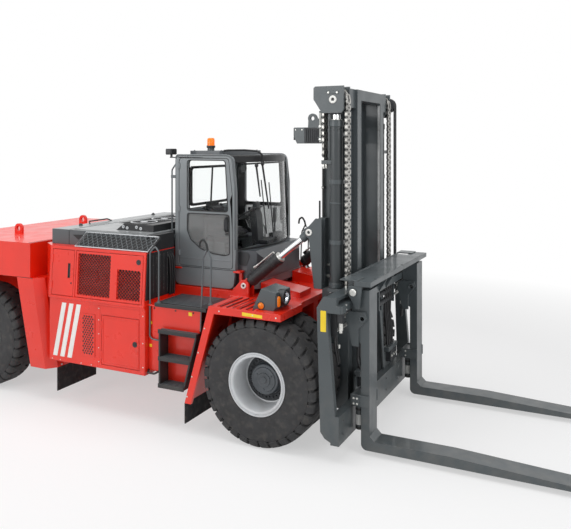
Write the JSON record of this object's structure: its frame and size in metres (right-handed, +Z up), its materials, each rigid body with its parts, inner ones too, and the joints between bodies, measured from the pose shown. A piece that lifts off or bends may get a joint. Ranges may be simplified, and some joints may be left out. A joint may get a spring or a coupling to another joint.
{
  "type": "heavy electric forklift truck",
  "caption": "Heavy counterbalance forklift with twin drive wheels, side cabinets, enclosed cab, tilting two-stage mast, carriage and side-shifting forks.",
  "frame": {"origin": "on the ground under the middle of the whole truck, forks included", "axes": "+X forward towards the forks, +Y to the truck's left, +Z up"},
  "size_m": [9.229, 3.02, 4.18],
  "materials": {
    "red_paint": "satin",
    "slate_paint": "satin",
    "cab_paint": "satin",
    "charcoal_paint": "satin",
    "black_steel": "matt",
    "rail_paint": "satin",
    "rim_paint": "satin",
    "cast_dark": "matt",
    "counterweight_paint": "satin",
    "tyre_rubber": "matt",
    "flap_rubber": "matt",
    "clear_glass": "clear",
    "lamp_glass": "clear",
    "orange_lens": "translucent",
    "lamp_plastic": "matt",
    "seat_fabric": "woven",
    "console_plastic": "matt",
    "chain_steel": "oiled",
    "chrome_rod": "polished",
    "pack_dark": "matt"
  },
  "bodies": {
    "truck": {"chassis_frame": "red_paint", "counterweight": "counterweight_paint", "lifting_eyes": "red_paint", "rear_columns": "red_paint", "hood": "charcoal_paint", "cooler": "black_steel", "mesh_guards": "black_steel", "power_pack": "pack_dark", "steps": "black_steel", "handrails": "rail_paint", "mudflaps": "flap_rubber", "lamp_pods": "lamp_plastic", "lamp_lenses": "lamp_glass", "cab_shell": "cab_paint", "cab_glass": "clear_glass", "cab_nose": "charcoal_paint", "seat": "seat_fabric", "console": "console_plastic", "beacon_lens": "orange_lens", "drive_axle": "cast_dark", "steer_axle": "cast_dark", "cabinet_right": "red_paint", "cabinet_left": "red_paint", "fender_right": "red_paint", "fender_left": "red_paint"},
    "outer_mast": {"outer_mast": "slate_paint", "lift_barrels": "slate_paint", "chain_rear": "chain_steel"},
    "inner_mast": {"inner_mast": "slate_paint", "lift_rods": "chrome_rod", "sheaves": "cast_dark", "chain_front": "chain_steel"},
    "carriage": {"carriage": "slate_paint", "fork_shaft": "chrome_rod"},
    "fork_right": {"fork_right": "slate_paint"},
    "cab_door_right": {"cab_door_right": "cab_paint", "cab_door_glass_right": "clear_glass"},
    "mesh_door_right": {"mesh_door_right": "red_paint"},
    "plain_door_right": {"plain_door_right": "red_paint"},
    "access_door_right": {"access_door_right": "red_paint"},
    "knuckle_right": {"knuckle_right": "cast_dark"},
    "front_wheel_right": {"front_tyres_right": "tyre_rubber", "front_rim_right": "rim_paint"},
    "rear_wheel_right": {"rear_tyre_right": "tyre_rubber", "rear_rim_right": "rim_paint"},
    "tilt_barrel_right": {"tilt_barrel_right": "black_steel"},
    "tilt_rod_right": {"tilt_rod_right": "chrome_rod"},
    "fork_left": {"fork_left": "slate_paint"},
    "cab_door_left": {"cab_door_left": "cab_paint", "cab_door_glass_left": "clear_glass"},
    "mesh_door_left": {"mesh_door_left": "red_paint"},
    "plain_door_left": {"plain_door_left": "red_paint"},
    "access_door_left": {"access_door_left": "red_paint"},
    "knuckle_left": {"knuckle_left": "cast_dark"},
    "front_wheel_left": {"front_tyres_left": "tyre_rubber", "front_rim_left": "rim_paint"},
    "rear_wheel_left": {"rear_tyre_left": "tyre_rubber", "rear_rim_left": "rim_paint"},
    "tilt_barrel_left": {"tilt_barrel_left": "black_steel"},
    "tilt_rod_left": {"tilt_rod_left": "chrome_rod"}
  },
  "joints": [
    {"name": "mast_tilt", "type": "hinge", "parent": "truck", "child": "outer_mast", "pos_m": [1.3155, 0, 0.69], "axis": [0, 1, 0], "range_deg": [-10, 5]},
    {"name": "mast_lift", "type": "slide", "parent": "outer_mast", "child": "inner_mast", "axis": [0, 0, 1], "range_m": [0, 2], "deforming": ["chain_rear"]},
    {"name": "carriage_lift", "type": "slide", "parent": "inner_mast", "child": "carriage", "axis": [0, 0, 1], "range_m": [0, 2], "deforming": ["chain_front"]},
    {"name": "front_wheel_right_spin", "type": "hinge", "parent": "truck", "child": "front_wheel_right", "pos_m": [0.9855, -1.095, 0.736], "axis": [0, 1, 0], "continuous": true},
    {"name": "steer_right", "type": "hinge", "parent": "truck", "child": "knuckle_right", "pos_m": [-3.5645, -0.93, 0.736], "axis": [0, 0, 1], "range_deg": [-55, 55]},
    {"name": "rear_wheel_right_spin", "type": "hinge", "parent": "knuckle_right", "child": "rear_wheel_right", "pos_m": [-3.5645, -1.22, 0.736], "axis": [0, 1, 0], "continuous": true},
    {"name": "cab_door_right_hinge", "type": "hinge", "parent": "truck", "child": "cab_door_right", "pos_m": [-0.5595, -0.8, 2.5], "axis": [0, 0, -1], "range_deg": [0, 65]},
    {"name": "mesh_door_right_hinge", "type": "hinge", "parent": "truck", "child": "mesh_door_right", "pos_m": [-0.6495, -1.49707, 1.485], "axis": [0, 0.0651, 0.9979], "range_deg": [0, 100]},
    {"name": "plain_door_right_hinge", "type": "hinge", "parent": "truck", "child": "plain_door_right", "pos_m": [-2.1395, -1.49707, 1.485], "axis": [0, -0.0651, -0.9979], "range_deg": [0, 110]},
    {"name": "access_door_right_hinge", "type": "hinge", "parent": "truck", "child": "access_door_right", "pos_m": [-1.2935, -1.48, 0.97], "axis": [0, 0, -1], "range_deg": [0, 110]},
    {"name": "tilt_barrel_right_swing", "type": "hinge", "parent": "truck", "child": "tilt_barrel_right", "pos_m": [0.4655, -0.8, 1.71], "axis": [0, 1, 0], "range_deg": [-10.88, 5.69]},
    {"name": "tilt_rod_right_slide", "type": "slide", "parent": "tilt_barrel_right", "child": "tilt_rod_right", "axis": [0.7785, 0, 0.6277], "range_m": [-0.2333, 0.1176]},
    {"name": "fork_right_shift", "type": "slide", "parent": "carriage", "child": "fork_right", "axis": [0, 1, 0], "range_m": [-0.03, 0.62]},
    {"name": "front_wheel_left_spin", "type": "hinge", "parent": "truck", "child": "front_wheel_left", "pos_m": [0.9855, 1.095, 0.736], "axis": [0, 1, 0], "continuous": true},
    {"name": "steer_left", "type": "hinge", "parent": "truck", "child": "knuckle_left", "pos_m": [-3.5645, 0.93, 0.736], "axis": [0, 0, 1], "range_deg": [-55, 55]},
    {"name": "rear_wheel_left_spin", "type": "hinge", "parent": "knuckle_left", "child": "rear_wheel_left", "pos_m": [-3.5645, 1.22, 0.736], "axis": [0, 1, 0], "continuous": true},
    {"name": "cab_door_left_hinge", "type": "hinge", "parent": "truck", "child": "cab_door_left", "pos_m": [-0.5595, 0.8, 2.5], "axis": [0, 0, 1], "range_deg": [0, 65]},
    {"name": "mesh_door_left_hinge", "type": "hinge", "parent": "truck", "child": "mesh_door_left", "pos_m": [-0.6495, 1.49707, 1.485], "axis": [0, 0.0651, -0.9979], "range_deg": [0, 100]},
    {"name": "plain_door_left_hinge", "type": "hinge", "parent": "truck", "child": "plain_door_left", "pos_m": [-2.1395, 1.49707, 1.485], "axis": [0, -0.0651, 0.9979], "range_deg": [0, 110]},
    {"name": "access_door_left_hinge", "type": "hinge", "parent": "truck", "child": "access_door_left", "pos_m": [-1.2935, 1.48, 0.97], "axis": [0, 0, 1], "range_deg": [0, 110]},
    {"name": "tilt_barrel_left_swing", "type": "hinge", "parent": "truck", "child": "tilt_barrel_left", "pos_m": [0.4655, 0.8, 1.71], "axis": [0, 1, 0], "range_deg": [-10.88, 5.69]},
    {"name": "tilt_rod_left_slide", "type": "slide", "parent": "tilt_barrel_left", "child": "tilt_rod_left", "axis": [0.7785, 0, 0.6277], "range_m": [-0.2333, 0.1176]},
    {"name": "fork_left_shift", "type": "slide", "parent": "carriage", "child": "fork_left", "axis": [0, -1, 0], "range_m": [-0.03, 0.62]}
  ],
  "couplings": [
    {"joint": "carriage_lift", "follows": "mast_lift", "ratio": 1},
    {"joint": "tilt_barrel_right_swing", "follows": "mast_tilt", "ratio": 1.0375},
    {"joint": "tilt_rod_right_slide", "follows": "mast_tilt", "m_per_rad": 1.325},
    {"joint": "tilt_barrel_left_swing", "follows": "mast_tilt", "ratio": 1.0375},
    {"joint": "tilt_rod_left_slide", "follows": "mast_tilt", "m_per_rad": 1.325},
    {"joint": "steer_left", "follows": "steer_right", "ratio": 1}
  ]
}
